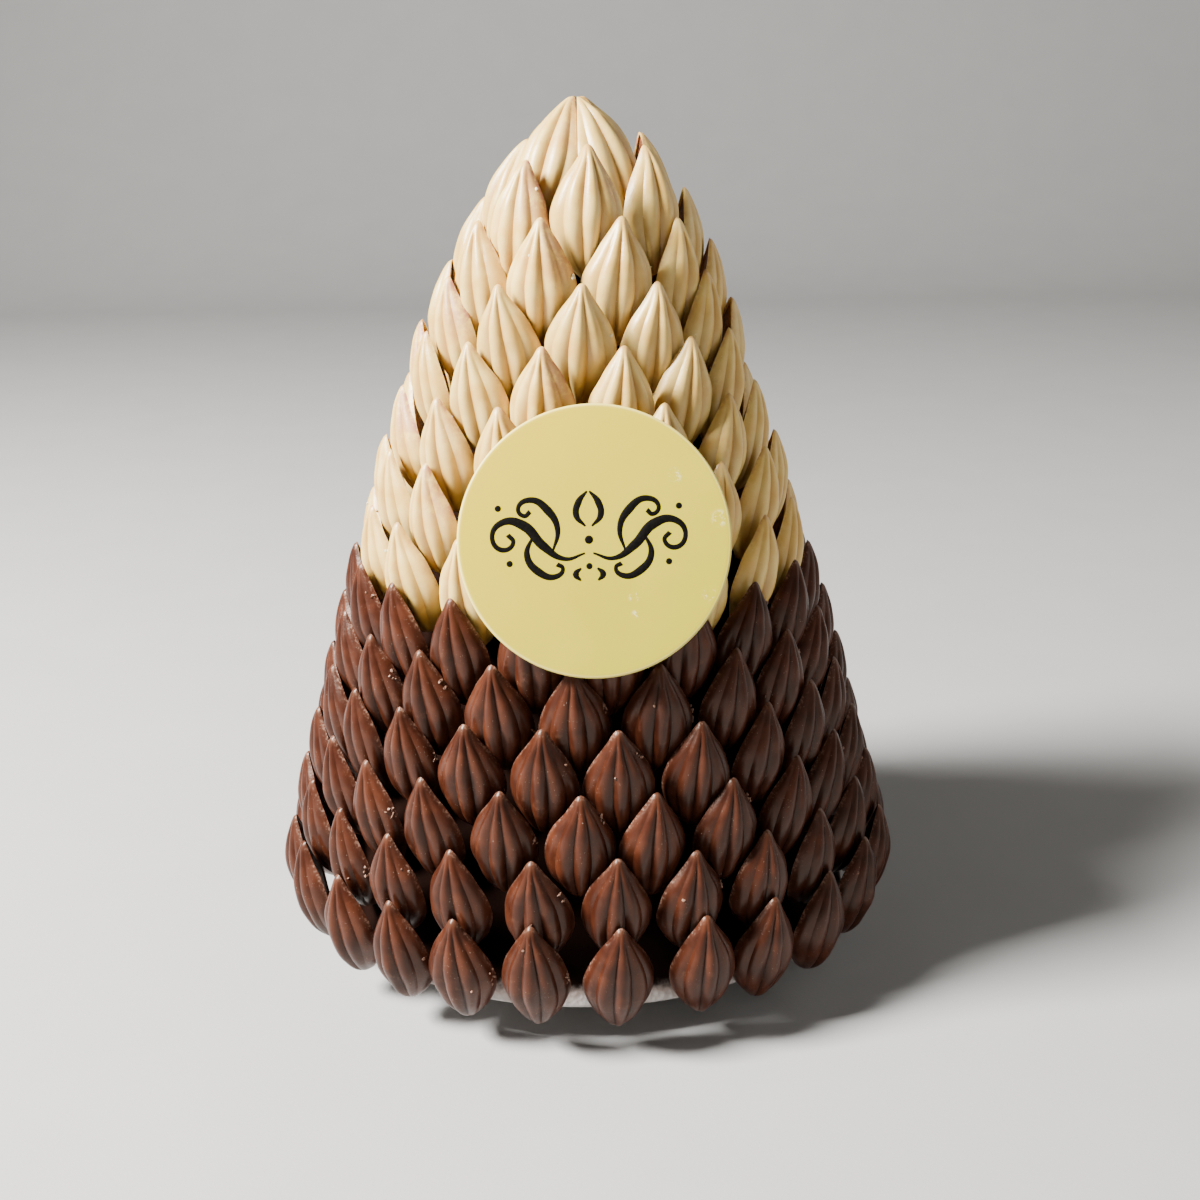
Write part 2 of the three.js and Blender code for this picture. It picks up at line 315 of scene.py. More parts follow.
def joined(name, pieces):
    """Makes one settled piece of several."""
    settle(*pieces)
    bpy.ops.object.join()
    pieces[0].name = name
    pieces[0].data.name = name
    return pieces[0]


def smooth(piece, angle):
    """Shades faces smooth where they meet at less than an angle in degrees."""
    only(piece)
    bpy.ops.object.shade_smooth_by_angle(angle=radians(angle))


def hand_in(piece, slot, *nodes):
    """Gives a finished piece its place in the frame."""
    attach(piece, "root")
    if nodes:
        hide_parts(*nodes)


def cover(piece, *finishes):
    """Adds finishes to a piece: the first for all its faces, the second for those marked 1."""
    for finish in finishes:
        piece.data.materials.append(finish)


# ---------------------------------------------------------------- shader maths

def shade(red, green, blue):
    """A colour from its 0 to 255 display values."""
    def linear(level):
        level /= 255
        return level / 12.92 if level <= 0.04045 else ((level + 0.055) / 1.055) ** 2.4
    return linear(red), linear(green), linear(blue), 1


class Value:
    """A value that changes over a surface. Arithmetic on it adds Math nodes."""

    def __init__(self, finish, socket):
        self.finish = finish
        self.socket = socket

    def math(self, operation, *terms):
        return self.finish.node("ShaderNodeMath", dict(operation=operation), dict(enumerate(terms)))

    def __add__(self, other):
        return self.math("ADD", self, other)

    def __sub__(self, other):
        return self.math("SUBTRACT", self, other)

    def __mul__(self, other):
        return self.math("MULTIPLY", self, other)

    def __truediv__(self, other):
        return self.math("DIVIDE", self, other)

    def __pow__(self, other):
        return self.math("POWER", self, other)

    def __radd__(self, other):
        return self.math("ADD", other, self)

    def __rsub__(self, other):
        return self.math("SUBTRACT", other, self)

    def __rmul__(self, other):
        return self.math("MULTIPLY", other, self)

    def band(self, start, end):
        """0 up to start, 1 from end on, smooth between."""
        sockets = {"Value": self, "From Min": start, "From Max": end}
        return self.finish.node("ShaderNodeMapRange", dict(interpolation_type="SMOOTHSTEP"), sockets)


class Finish:
    """A material under construction."""

    def __init__(self, name, **constants):
        self.material = bpy.data.materials.new(name)
        self.material.use_nodes = True
        self.tree = self.material.node_tree
        self.shader = self.tree.nodes["Principled BSDF"]
        for socket, value in constants.items():
            self.shader.inputs[socket.replace("_", " ")].default_value = value
        self.places = self.node("ShaderNodeTexCoord", {}, {}, "Object")

    def node(self, kind, settings, sockets, output=0):
        node = self.tree.nodes.new(kind)
        for name, value in settings.items():
            setattr(node, name, value)
        for name, value in sockets.items():
            self.connect(value, node.inputs[name])
        return Value(self, node.outputs[output])

    def connect(self, value, socket):
        if isinstance(value, Value):
            self.tree.links.new(value.socket, socket)
        else:
            socket.default_value = value

    def marked(self, name):
        """A value kept on the points of the piece."""
        return self.node("ShaderNodeAttribute", dict(attribute_name=name), {}, "Fac")

    def mottle(self, size, detail=2, **settings):
        """Noise between 0 and 1 with lumps of a size in millimetres."""
        sockets = {"Vector": self.places, "Scale": 1 / (size * MM), "Detail": detail}
        sockets.update(settings)
        return self.node("ShaderNodeTexNoise", {}, sockets, "Fac")

    def mix(self, below, above, share):
        return self.node("ShaderNodeMix", dict(data_type="RGBA"), {0: share, 6: below, 7: above}, 2)

    def darken(self, colour, share):
        settings = dict(data_type="RGBA", blend_type="MULTIPLY")
        return self.node("ShaderNodeMix", settings, {0: 1.0, 6: colour, 7: share}, 2)

    def complete(self, colour, roughness, relief, depth):
        """Connects colour, roughness and a relief that is depth millimetres high."""
        self.connect(colour, self.shader.inputs["Base Color"])
        self.connect(roughness, self.shader.inputs["Roughness"])
        sockets = {"Height": relief, "Distance": depth * MM, "Strength": 1.0}
        self.connect(self.node("ShaderNodeBump", {}, sockets, "Normal"), self.shader.inputs["Normal"])
        return self.material


# ---------------------------------------------------------------- finishes

# Points of the pods carry these marks: along (distance from the tip), groove (1 in its bottom), rim
# (1 at the back's edge, more on crumbs), side (-1 left to 1 right) and tone (one value for each pod).

def is_crumb(rim):
    return rim.band(1.2, 1.6)


def milk_chocolate():
    finish = Finish("milk_chocolate", Specular_IOR_Level=0.3, Specular_Tint=(1, 0.86, 0.76, 1))
    tone = finish.marked("tone")
    along = finish.marked("along")
    groove = finish.marked("groove")
    rim = finish.marked("rim")
    cloud = finish.mottle(9, 3)
    grain = finish.mottle(0.9, 3)
    speck = finish.mottle(0.55, 1)
    patch = finish.mottle(5, 4, Roughness=0.7)

    colour = finish.mix(shade(48, 20, 10), shade(70, 34, 19), cloud.band(0.3, 0.75))
    # Painted shade: the bottoms of the grooves darkened, where little light reaches
    colour = finish.mix(colour, shade(24, 9, 4), groove ** 5 * 0.8)
    # Paler and pinkish at the tip: partly dusty bloom, partly a painted highlight
    tip = (1 - along.band(0.5, 5)) * (0.1 + 0.5 * patch)
    colour = finish.mix(colour, shade(100, 64, 46), tip)
    # Paler along the rim: real chips and crumbs, with a painted highlight along the edge
    rim_chips_and_highlight = rim.band(0.45, 0.9) * (0.1 + 0.7 * grain.band(0.5, 0.6)) * patch.band(0.4, 0.56)
    rim_chips_and_highlight = rim_chips_and_highlight * 0.8 + is_crumb(rim) * 0.75
    colour = finish.mix(colour, shade(140, 108, 92), rim_chips_and_highlight)
    rubbed = patch.band(0.58, 0.68) * along.band(10, 30) * 0.3
    colour = finish.mix(colour, shade(108, 72, 54), rubbed)
    flecks = speck.band(0.735, 0.76) * cloud.band(0.42, 0.6) * 0.7
    colour = finish.mix(colour, shade(170, 148, 134), flecks)
    colour = finish.darken(colour, 0.9 + 0.2 * tone)
    roughness = 0.26 + 0.14 * cloud + 0.2 * rubbed + 0.2 * rim_chips_and_highlight
    relief = 0.5 * grain + patch + 2 * flecks
    return finish.complete(colour, roughness, relief, 0.12)


def ivory_chocolate():
    finish = Finish("ivory_chocolate", Specular_IOR_Level=0.6, Subsurface_Weight=0.1,
                    Subsurface_Scale=0.002)
    side = finish.marked("side")
    tone = finish.marked("tone")
    along = finish.marked("along")
    groove = finish.marked("groove")
    rim = finish.marked("rim")
    cloud = finish.mottle(10, 3)
    grain = finish.mottle(0.9, 3)
    speck = finish.mottle(0.6, 1)
    patch = finish.mottle(4.5, 4, Roughness=0.7)

    colour = finish.mix(shade(208, 168, 84), shade(222, 192, 112), cloud.band(0.3, 0.7))
    # Painted shade: the grooves darker and warmer, for shade and for light scattered in the ivory
    colour = finish.mix(colour, shade(164, 112, 50), groove ** 2.2 * 0.6)
    tip = (1 - along.band(0.5, 7)) * patch.band(0.3, 0.7) * 0.35
    colour = finish.mix(colour, shade(206, 146, 88), tip)
    stain = side.band(0.1, 0.8) * patch.band(0.32, 0.54) * (1 - along.band(14, 30))
    stain = stain * tone.band(0.3, 0.6) * 0.7 + rim.band(0.5, 0.95) * patch.band(0.46, 0.56) * 0.5
    colour = finish.mix(colour, shade(158, 100, 78), stain * 0.85)
    smudge = patch.band(0.62, 0.74) * (1 - along.band(12, 32)) * 0.35
    colour = finish.mix(colour, shade(176, 116, 88), smudge)
    flecks = speck.band(0.74, 0.77) * cloud.band(0.45, 0.6)
    colour = finish.mix(colour, shade(248, 230, 180), flecks * 0.8)
    colour = finish.mix(colour, shade(246, 232, 196), is_crumb(rim) * 0.9)
    colour = finish.darken(colour, 0.9 + 0.16 * tone)
    roughness = 0.32 + 0.14 * cloud + 0.15 * stain
    relief = 0.5 * grain + patch + 2 * flecks
    return finish.complete(colour, roughness, relief, 0.1)


def pod_back(name, dark, light):
    """The rough, recessed back of a pod, with drips of coating on it."""
    finish = Finish(name, Specular_IOR_Level=0.35)
    patch = finish.mottle(4, 4, Roughness=0.65)
    grain = finish.mottle(0.7, 3)
    colour = finish.mix(dark, light, patch.band(0.4, 0.65))
    return finish.complete(colour, 0.5 + 0.2 * grain, patch + 0.4 * grain, 0.4)


def foam_with_painted_shade():
    """Pale beads of foam at the foot; from a ragged line upwards the foam is painted near-black as
    painted shade for the deep shade between the pods, with a brown fringe of painted shade below the
    line.
    """
    finish = Finish("foam_with_painted_shade", Specular_IOR_Level=0.02)
    height = finish.node("ShaderNodeSeparateXYZ", {}, {0: finish.places}, "Z") / MM
    patch = finish.mottle(9, 4, Roughness=0.6)
    bead = finish.node("ShaderNodeTexVoronoi", {}, {"Vector": finish.places, "Scale": 450}, "Distance")
    # Painted shade: near-black above a ragged line, fading in through a brown band below it
    painted_shade = (height + 12 * patch).band(24, 30)
    painted_shade_fringe = (height + 16 * patch).band(19, 28) * 0.6
    colour = finish.mix(shade(206, 205, 203), shade(190, 188, 186), bead)
    colour = finish.mix(colour, shade(120, 84, 66), painted_shade_fringe)
    colour = finish.mix(colour, shade(20, 9, 6), painted_shade)
    return finish.complete(colour, 0.62 + 0.1 * painted_shade, bead * (1 - painted_shade) + patch, 0.4)


def plaque_chocolate():
    finish = Finish("plaque_chocolate", Specular_IOR_Level=0.3, Subsurface_Weight=0.12,
                    Subsurface_Scale=0.002)
    place = Vector((PLAQUE_OFFSET, -PLAQUE_REACH, PLAQUE_HEIGHT)) * MM
    flat = finish.node("ShaderNodeMapping", dict(vector_type="TEXTURE"), {
        "Vector": finish.places, "Location": place, "Rotation": (radians(90 - PLAQUE_LEAN), 0, 0)})
    across = finish.node("ShaderNodeSeparateXYZ", {}, {0: flat}, "X") / MM
    up = finish.node("ShaderNodeSeparateXYZ", {}, {0: flat}, "Y") / MM
    cloud = finish.mottle(34, 2)
    grain = finish.mottle(1.2, 3)
    scratch = finish.mottle(2.4, 4, Roughness=0.75)
    scuffs = 0
    for right, above, radius in PLAQUE_SCUFFS:
        distance = ((across - right) ** 2 + (up - above) ** 2) ** 0.5
        scuffs = scuffs + (1 - distance.band(radius * 0.3, radius))
    scuffs = scuffs * scratch.band(0.5, 0.6) * 0.5
    # Paler at the rim: a chipped edge, with a painted highlight along it
    edge = ((across ** 2 + up ** 2) ** 0.5).band(PLAQUE_RADIUS - 1.4, PLAQUE_RADIUS - 0.4)
    # Painted light: lighter towards the upper left, darker towards the lower right
    painted_light_gradient = (up - across).band(-60, 90)
    colour = finish.mix(shade(180, 168, 30), shade(204, 180, 26), painted_light_gradient)
    colour = finish.mix(colour, shade(192, 176, 38), cloud.band(0.4, 0.7) * 0.5)
    colour = finish.mix(colour, shade(236, 220, 130), edge * 0.6)
    colour = finish.mix(colour, shade(244, 232, 176), scuffs)
    roughness = 0.36 + 0.1 * cloud + 0.2 * scuffs
    return finish.complete(colour, roughness, cloud + 0.15 * grain + 0.5 * scuffs, 0.12)


def black_print():
    finish = Finish("black_print", Specular_IOR_Level=0.08)
    grain = finish.mottle(0.8, 3)
    colour = finish.mix(shade(4, 3, 2), shade(12, 10, 7), grain.band(0.35, 0.7))
    return finish.complete(colour, 0.5 + 0.1 * grain, grain, 0.05)


def pale_floor():
    finish = Finish("pale_floor", Specular_IOR_Level=0.2)
    cloud = finish.mottle(60, 3)
    grain = finish.mottle(1.5, 2)
    colour = finish.mix(shade(160, 160, 160), shade(166, 166, 165), cloud)
    return finish.complete(colour, 0.7 + 0.1 * grain, grain, 0.05)


MILK = milk_chocolate()
IVORY = ivory_chocolate()
MILK_BACK = pod_back("milk_back", shade(40, 19, 12), shade(72, 38, 24))
IVORY_BACK = pod_back("ivory_back", shade(82, 42, 26), shade(150, 92, 58))


# ---------------------------------------------------------------- one pod

def inside_length(distance):
    """Kept half a millimetre away from the tip and the foot, where a section has no width."""
    return min(max(distance, 0.5), POD_LENGTH - 0.5)


def column_angle(place):
    """Angle round the belly at a place on a pod, 0 on the middle ridge, in degrees."""
    distance = inside_length(-place.z)
    return abs(degrees(atan2(place.x / pod_half_width(distance), -place.y / pod_depth(distance))))


def flute_depth(distance):
    """0 at the nib and at the foot, 1 where the grooves are at their deepest."""
    start = (distance - FLUTES_BEGIN) / (FLUTES_DEEP - FLUTES_BEGIN)
    end = (FLUTES_END - distance) / (FLUTES_END - FLUTES_SHALLOW)
    return min(max(min(start, end), 0), 1)


def groove_share(place):
    """1 in the bottom of the two inner grooves, less in the outer ones, 0 on the ridges."""
    angle = column_angle(place)
    nearness = (max(0, 1 - abs(angle - groove) / (LOBE_ANGLE / 2)) for groove in GROOVE_ANGLES)
    return max(near * full for near, full in zip(nearness, GROOVE_FULLNESS)) * flute_depth(-place.z)


def mark_points(piece, name, measure):
    """Keeps a value on each point, for the materials to read."""
    marks = piece.data.attributes.new(name, "FLOAT", "POINT")
    marks.data.foreach_set("value", [measure(corner.co / MM) for corner in piece.data.vertices])


def flute_section(distance):
    """Moves one ring of points in at the grooves and out at the ridges and the lips."""
    depth = flute_depth(distance)
    for share in sorted(set(SECTION_SHARES.values())):
        angles = [angle for angle in SECTION_SHARES if SECTION_SHARES[angle] == share]
        pick("VERT", lambda place: abs(place.z + distance) < NEAR
             and any(abs(column_angle(place) - angle) < 1 for angle in angles))
        moved = 1 + depth * (share - 1)
        stretch(moved, moved)


def model_pod():
    """Draws a ring of points out into a fluted bud, cuts its back half off and closes the back."""
    first = POD_SECTIONS[0]
    pod = begin(bpy.ops.mesh.primitive_circle_add, "pod", vertices=POD_COLUMNS, radius=MM,
                location=(0, 0, -first * MM))
    width, depth = pod_half_width(first), pod_depth(first)
    stretch(width, depth)
    for above, below in zip(POD_SECTIONS, POD_SECTIONS[1:]):
        draw_out(above - below)
        stretch(pod_half_width(below) / width, pod_depth(below) / depth)
        width, depth = pod_half_width(below), pod_depth(below)
    close_ring(POD_SECTIONS[-1] - POD_LENGTH)
    pick("VERT", lambda place: abs(place.z + first) < NEAR)
    close_ring(first)
    pick("EDGE", lambda place: groove_share(place) > CREASED_ABOVE)
    bpy.ops.transform.edge_crease(value=1)
    for distance in POD_SECTIONS:
        flute_section(distance)
    bpy.ops.mesh.select_all(action="SELECT")
    bpy.ops.mesh.bisect(plane_co=(0, 0, 0), plane_no=(0, 1, 0), clear_outer=True)
    done()
    finish_with(pod, "SUBSURF", levels=1, render_levels=1)

    only(pod)
    bpy.ops.object.mode_set(mode="EDIT")
    bpy.ops.mesh.select_mode(type="EDGE")
    bpy.ops.mesh.select_all(action="DESELECT")
    bpy.ops.mesh.select_non_manifold()
    bpy.ops.mesh.edge_face_add()
    bpy.ops.mesh.normals_make_consistent(inside=False)
    bpy.ops.mesh.inset(thickness=RIM_WIDTH * MM)
    bpy.ops.mesh.inset(thickness=BACK_SLOPE * MM, depth=-BACK_RECESS * MM)
    done()
    mark_points(pod, "along", lambda place: -place.z)
    mark_points(pod, "groove", groove_share)
    mark_points(pod, "rim", lambda place: max(0, 1 + place.y / RIM_BAND))
    mark_points(pod, "side", lambda place: place.x / pod_half_width(inside_length(-place.z)))
    smooth(pod, 40)
    return pod


def give_back(pod):
    """The recessed face, the only one with many corners, takes the second finish."""
    for face in pod.data.polygons:
        if face.normal.y > 0.9 and len(face.vertices) > 4:
            face.material_index = 1


def copied(pattern, name):
    """A copy with a mesh of its own."""
    copy = pattern.copy()
    copy.data = pattern.data.copy()
    copy.name = name
    bpy.context.scene.collection.objects.link(copy)
    return copy


def uneven_pod(pattern, seed, name, finishes, size=1):
    """A copy of the pod that differs a little from the others in size, bend and skin."""
    pod = copied(pattern, name)
    normals = [corner.normal.copy() for corner in pattern.data.vertices]
    cover(pod, *finishes)
    swell = 1 + UNEVEN_SIZE * scatter(seed + 0.11)
    bend = UNEVEN_TIP * scatter(seed + 0.17) * MM
    shift = Vector((seed, seed / 2, 0))
    for corner, normal in zip(pod.data.vertices, normals):
        place = corner.co.copy()
        share = 1 + place.z / (POD_LENGTH * MM)
        skin = UNEVEN_SKIN * MM * noise.noise(place / (UNEVEN_SPAN * MM) + shift)
        place += normal * skin * min(1, -place.z / (UNEVEN_SPAN * MM))
        place.x = place.x * swell + bend * share * share
        corner.co = place * size
    marks = pod.data.attributes.new("tone", "FLOAT", "POINT")
    marks.data.foreach_set("value", [lot(seed + 0.83)] * len(pod.data.vertices))
    return pod


def model_crumb():
    """A rough little lump, shaped from a ball by pushing its points about."""
    crumb = begin(bpy.ops.mesh.primitive_ico_sphere_add, "crumb", subdivisions=1,
                  radius=CRUMB_RADIUS * MM)
    bpy.ops.transform.vertex_random(offset=CRUMB_SPREAD * MM, seed=4)
    done()
    mark_points(crumb, "rim", lambda place: CRUMB_MARK)
    return crumb


def crumb_places(pod, seed, usual):
    """A run of points along a pod's right rim and, if the run is long, one on its belly."""
    points = [(corner.co.copy(), mark.value)
              for corner, mark in zip(pod.data.vertices, pod.data.attributes["rim"].data)]
    points.sort(key=lambda point: point[0].z)     # Blender may number them anew in each run
    belly = [place for place, mark in points if mark < BELLY_MARK]
    rim = [place for place, mark in points
           if CRUMB_RIM[0] < mark < CRUMB_RIM[1] and place.x > 0
           and CRUMB_REACH[0] * MM < -place.z < CRUMB_REACH[1] * MM]
    count = round(usual * max(0, 0.3 + 1.5 * scatter(seed + 0.71)))
    first = floor(lot(seed + 0.29) * (len(rim) - count - 1))
    places = rim[first:first + count]
    if count > usual:
        places.append(belly[floor(lot(seed + 0.33) * (len(belly) - 1))])
    return places


def crumbs_on(pod, crumb, seed, usual):
    """Copies of the crumb, each of its own size and turn, stuck to a pod."""
    crumbs = []
    for number, place in enumerate(crumb_places(pod, seed, usual)):
        draw = seed + 0.37 * number
        size = Vector([0.9 + 0.5 * scatter(draw + part) for part in (0.2, 0.4, 0.6)])
        turn = Matrix.Rotation(pi * scatter(draw + 0.9), 4, size)
        place = place + Vector((0, 0, CRUMB_JITTER * scatter(draw + 0.5))) * MM
        copy = copied(crumb, "crumb")
        cover(copy, *pod.data.materials)
        copy.matrix_world = pod.matrix_world @ Matrix.LocRotScale(place, turn.to_quaternion(), size)
        crumbs.append(copy)
    return crumbs


def stand_pod(pod, turn, radius, height, lean, seed, offset=0, swing=0, tuck=0, roll=0):
    """Stands a pod on the cone, leaning outwards at its tip, a little rolled and tilted."""
    turn = radians(turn)
    middle = Vector((0, 0, -POD_LENGTH / 2 * MM))
    roll = Matrix.Rotation(radians(UNEVEN_ROLL * scatter(seed + 0.41) + roll), 4, "Z")
    tilt = Matrix.Rotation(radians(UNEVEN_TILT * scatter(seed + 0.53) + swing), 4, "Y")
    nod = Matrix.Rotation(radians(-tuck), 4, "X")
    about_middle = Matrix.Translation(middle) @ nod @ tilt @ roll @ Matrix.Translation(-middle)
    place = Vector((radius * sin(turn) + offset, -radius * cos(turn), height)) * MM
    facing = Matrix.Rotation(turn, 4, "Z") @ Matrix.Rotation(radians(lean), 4, "X")
    pod.matrix_world = Matrix.Translation(place) @ facing @ about_middle


def own(tier, change, index):
    """What a tier's table says of one pod, 0 for most pods."""
    return tier.get(change, {}).get(index, 0)


def tier_pods(pattern, crumb, tier, number):
    """All pods of one tier, in place, with the crumbs on them."""
    milk = number <= MILK_TIERS
    finishes = (MILK, MILK_BACK) if milk else (IVORY, IVORY_BACK)
    crumb_run = MILK_CRUMB_RUN if milk else IVORY_CRUMB_RUN
    pods = []
    for index in range(tier["pods"]):
        seed = number * 100 + index
        turn = tier["turns"][index] if "turns" in tier else tier["turn"] + index * 360 / tier["pods"]
        turn += UNEVEN_TURN * scatter(seed)
        height = tier["height"] + UNEVEN_HEIGHT * scatter(seed + 0.6) + own(tier, "raised", index)
        radius = tip_radius(tier["height"]) + UNEVEN_RADIUS * scatter(seed + 0.3)
        radius -= own(tier, "drawn_in", index)
        name = f"pod_{number:02}_{index + 1:02}"
        pod = uneven_pod(pattern, seed, name, finishes, tier.get("size", 1))
        stand_pod(pod, turn, radius, height, tier["lean"], seed, swing=own(tier, "swung", index),
                  tuck=own(tier, "tucked", index), roll=own(tier, "rolled", index))
        pods.append(pod)
        pods.extend(crumbs_on(pod, crumb, seed, crumb_run))
    return pods


def make_tiers(pattern, crumb):
    """One piece for each tier, in place of its one node or of its pods' nodes."""
    for number, tier in enumerate(TIERS, 1):
        kind = "milk" if number <= MILK_TIERS else "ivory"
        piece = joined(f"{kind}_pods_{number:02}", tier_pods(pattern, crumb, tier, number))
        smooth(piece, 35)
        if number <= JOINED_TIERS:
            nodes = [f"tier_{number:02}_{kind}"]
        else:
            nodes = [f"tier_{number:02}_pod_{index + 1:02}" for index in range(tier["pods"])]
        hand_in(piece, f"{kind}_chocolate", *nodes)


def cut_to_sector(pod, turn):
    """Cuts a top pod where its neighbours on both sides begin."""
    only(pod)
    bpy.ops.object.mode_set(mode="EDIT")
    for side in (1, -1):
        edge = radians(turn + side * 180 / TOP_PODS)
        outwards = Vector((cos(edge), sin(edge), 0)) * side
        on_cut = Vector((TOP_OFFSET, 0, 0)) * MM - outwards * NEIGHBOUR_GAP / 2 * MM
        bpy.ops.mesh.select_all(action="SELECT")
        bpy.ops.mesh.bisect(plane_co=on_cut, plane_no=outwards, use_fill=True, clear_outer=True)
    done()


def make_crown(pattern):
    """The four pods that meet at the very top."""
    pods = []
    for index in range(TOP_PODS):
        seed = TOP_SEED + index
        turn = TOP_FIRST_TURN + index * 360 / TOP_PODS
        pod = uneven_pod(pattern, seed, f"pod_top_{index + 1}", (IVORY, IVORY_BACK), TOP_SIZE)
        stand_pod(pod, turn, TOP_TIP_RADIUS, TOP_HEIGHT, TOP_LEAN, seed, offset=TOP_OFFSET)
        settle(pod)
        cut_to_sector(pod, turn)
        pods.append(pod)
    crown = joined("crown_pods", pods)
    smooth(crown, 35)
    hand_in(crown, "ivory_chocolate", *(f"top_pod_{index + 1}" for index in range(TOP_PODS)))


# ---------------------------------------------------------------- core and plaque

def make_core():
    """Draws the foot's ring up through the core's widest edge to its small flat top."""
    outline = [(FOOT_RADIUS, 0), (FOOT_RADIUS, FOOT_HEIGHT), (CORE_EDGE_RADIUS, CORE_EDGE_HEIGHT)]
    for number in CORE_TIERS:
        tier = TIERS[number]
        lean = radians(tier["lean"])
        radius = tip_radius(tier["height"]) - POD_LENGTH * sin(lean) - CORE_CLEARANCE
        outline.append((radius, tier["height"] - POD_LENGTH * cos(lean)))
    outline.append((CORE_TOP_RADIUS, CORE_TOP_HEIGHT))

    core = begin(bpy.ops.mesh.primitive_circle_add, "foam_core", vertices=CORE_SIDES,
                 radius=FOOT_RADIUS * MM)
    for (below, low), (above, high) in zip(outline, outline[1:]):
        draw_out(high - low)
        stretch(above / below, above / below)
    close_ring(0)
    pick("VERT", lambda place: place.z < NEAR)
    close_ring(0)
    rings = (*outline[:3], outline[-1])
    pick("EDGE", lambda place: any(
        abs(place.z - height) < NEAR and place.xy.length > radius - 1 for radius, height in rings))
    bpy.ops.mesh.bevel(offset=CORE_ROUNDING * MM, segments=3)
    done()
    smooth(core, 40)
    cover(core, foam_with_painted_shade())
    hand_in(core, "foam", "core")


def on_plaque():
    """From a flat drawing to the face of the leaning plaque."""
    place = Vector((PLAQUE_OFFSET, -PLAQUE_REACH, PLAQUE_HEIGHT)) * MM
    return Matrix.Translation(place) @ Matrix.Rotation(radians(90 - PLAQUE_LEAN), 4, "X")


def make_plaque():
    """A round disc with softened edges, leaning back on the pods' tips."""
    plaque = begin(bpy.ops.mesh.primitive_cylinder_add, "plaque_disc", vertices=PLAQUE_SIDES,
                   radius=PLAQUE_RADIUS * MM, depth=PLAQUE_THICKNESS * MM)
    pick("EDGE", lambda place: abs(abs(place.z) - PLAQUE_THICKNESS / 2) < NEAR)
    bpy.ops.mesh.bevel(offset=PLAQUE_ROUNDING * MM, segments=4)
    pick("FACE", lambda place: abs(place.z) > PLAQUE_THICKNESS / 2 - NEAR)
    bpy.ops.mesh.inset(thickness=PLAQUE_BORDER * MM)
    done()
    plaque.matrix_world = on_plaque()
    settle(plaque)
    smooth(plaque, 35)
    cover(plaque, plaque_chocolate())
    hand_in(plaque, "plaque_chocolate", "plaque")


def pen_stroke(name, points, side):
    """A pen stroke that swells and thins, as a raised line a little above the plaque's face."""
    path = bpy.data.curves.new(name, "CURVE")
    path.dimensions = "3D"
    path.bevel_depth = SCROLL_PEN / 2 * MM
    path.bevel_resolution = 2
    path.resolution_u = 10
    path.use_fill_caps = True
    line = path.splines.new("BEZIER")
    line.bezier_points.add(len(points) - 1)
    for knot, (across, up, width) in zip(line.bezier_points, points):
        knot.co = Vector((side * across, up, 0)) * MM
        knot.radius = width
        knot.handle_left_type = knot.handle_right_type = "AUTO"
    stroke = bpy.data.objects.new(name, path)
    bpy.context.scene.collection.objects.link(stroke)
    only(stroke)
    bpy.ops.object.convert(target="MESH")
    return stroke


def print_dot(name, across, up, width):
    """A round dot of the print, flattened with the strokes later."""
    dot = begin(bpy.ops.mesh.primitive_uv_sphere_add, name, segments=24, ring_count=12,
                radius=width / 2 * MM, location=(across * MM, up * MM, 0))
    done()
    return dot


def make_scroll():
    """Draws the scroll twice, mirrored, flattens it and lays it on the plaque's face."""
    strokes = []
    for side in (1, -1):
        for number, points in enumerate(SCROLL_STROKES, 1):
            strokes.append(pen_stroke(f"stroke_{number}_{side}", points, side))
        for number, (across, up, width) in enumerate(SCROLL_DOTS, 1):
            if across or side == 1:
                strokes.append(print_dot(f"dot_{number}_{side}", side * across, up, width))
    scroll = joined("plaque_scroll", strokes)
    bpy.ops.object.mode_set(mode="EDIT")
    bpy.ops.mesh.select_all(action="SELECT")
    stretch(1, 1, SCROLL_RELIEF)
    done()
    across, up = SCROLL_MIDDLE
    face = Vector((across, up, PLAQUE_THICKNESS / 2)) * MM
    scroll.matrix_world = on_plaque() @ Matrix.Translation(face)
    settle(scroll)
    smooth(scroll, 40)
    cover(scroll, black_print())
    hand_in(scroll, "plaque_chocolate")


# ---------------------------------------------------------------- studio

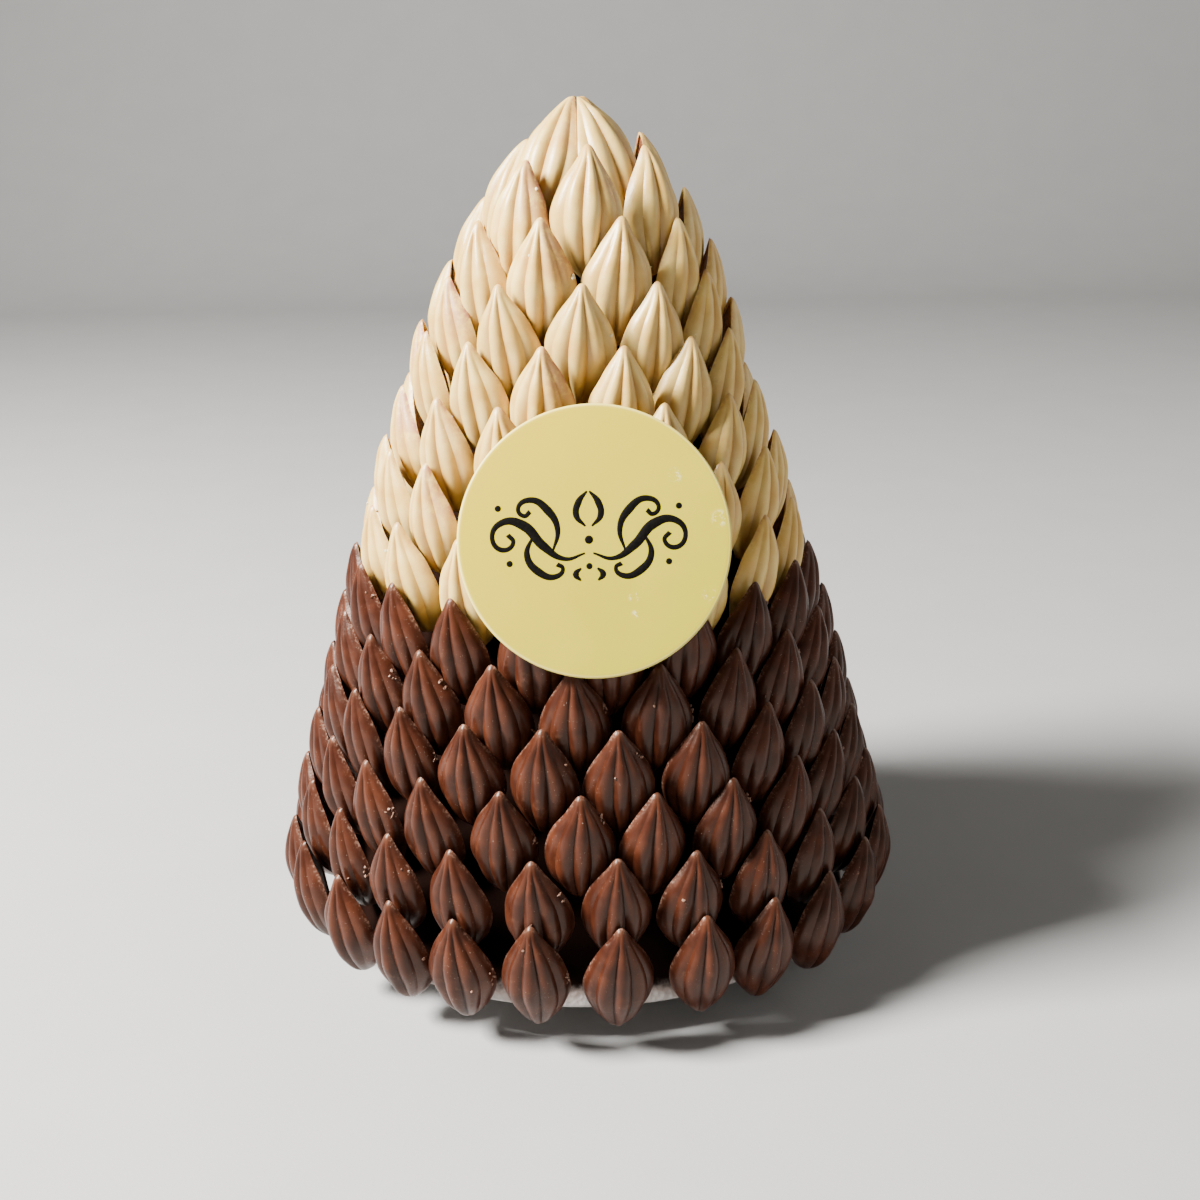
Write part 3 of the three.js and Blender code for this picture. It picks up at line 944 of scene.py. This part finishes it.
def make_floor():
    """A pale sheet on the floor that bends up on all sides of the pyramid."""
    sheet = begin(bpy.ops.mesh.primitive_plane_add, "pale_sheet", size=2 * FLOOR_HALF * MM)
    pick("EDGE", lambda place: place.length > FLOOR_HALF - 1)
    draw_out(BACKDROP_HEIGHT)
    pick("EDGE", lambda place: place.z < BACKDROP_HEIGHT - 1)
    bpy.ops.mesh.bevel(offset=BACKDROP_BEND * MM, segments=BACKDROP_STEPS)
    bpy.ops.object.mode_set(mode="OBJECT")
    smooth(sheet, 60)
    cover(sheet, pale_floor())


def soft_light(name, place, size, power, colour):
    """A square lamp that faces the middle of the pyramid."""
    lamp = bpy.data.lights.new(name, "AREA")
    lamp.energy = power
    lamp.size = size
    lamp.color = colour
    light = bpy.data.objects.new(name, lamp)
    light.location = Vector(place) * MM
    bpy.context.scene.collection.objects.link(light)
    way = Vector(LIGHTS_AIM) * MM - light.location
    light.rotation_euler = way.to_track_quat("-Z", "Y").to_euler()


def set_camera():
    lens = bpy.data.cameras.new("camera")
    lens.lens = CAMERA_LENS
    lens.sensor_width = CAMERA_SENSOR
    lens.clip_start = 0.01
    camera = bpy.data.objects.new("camera", lens)
    bpy.context.scene.collection.objects.link(camera)
    dip = Matrix.Rotation(radians(90 - CAMERA_DIP), 4, "X")
    roll = Matrix.Rotation(radians(CAMERA_ROLL), 4, "Z")
    camera.matrix_world = Matrix.Translation(Vector(CAMERA_PLACE) * MM) @ dip @ roll
    bpy.context.scene.camera = camera


def light_room():
    room = bpy.data.worlds.new("room")
    room.use_nodes = True
    sky = room.node_tree.nodes["Background"]
    sky.inputs["Color"].default_value = ROOM_COLOUR
    sky.inputs["Strength"].default_value = ROOM_LIGHT
    bpy.context.scene.world = room
    soft_light("key", KEY_PLACE, KEY_SIZE, KEY_POWER, KEY_COLOUR)
    soft_light("fill", FILL_PLACE, FILL_SIZE, FILL_POWER, FILL_COLOUR)


# ---------------------------------------------------------------- all together

pattern = model_pod()
give_back(pattern)
crumb = model_crumb()
make_tiers(pattern, crumb)
make_crown(pattern)
bpy.data.objects.remove(pattern)
bpy.data.objects.remove(crumb)
make_core()
make_plaque()
make_scroll()
make_floor()
set_camera()
light_room()
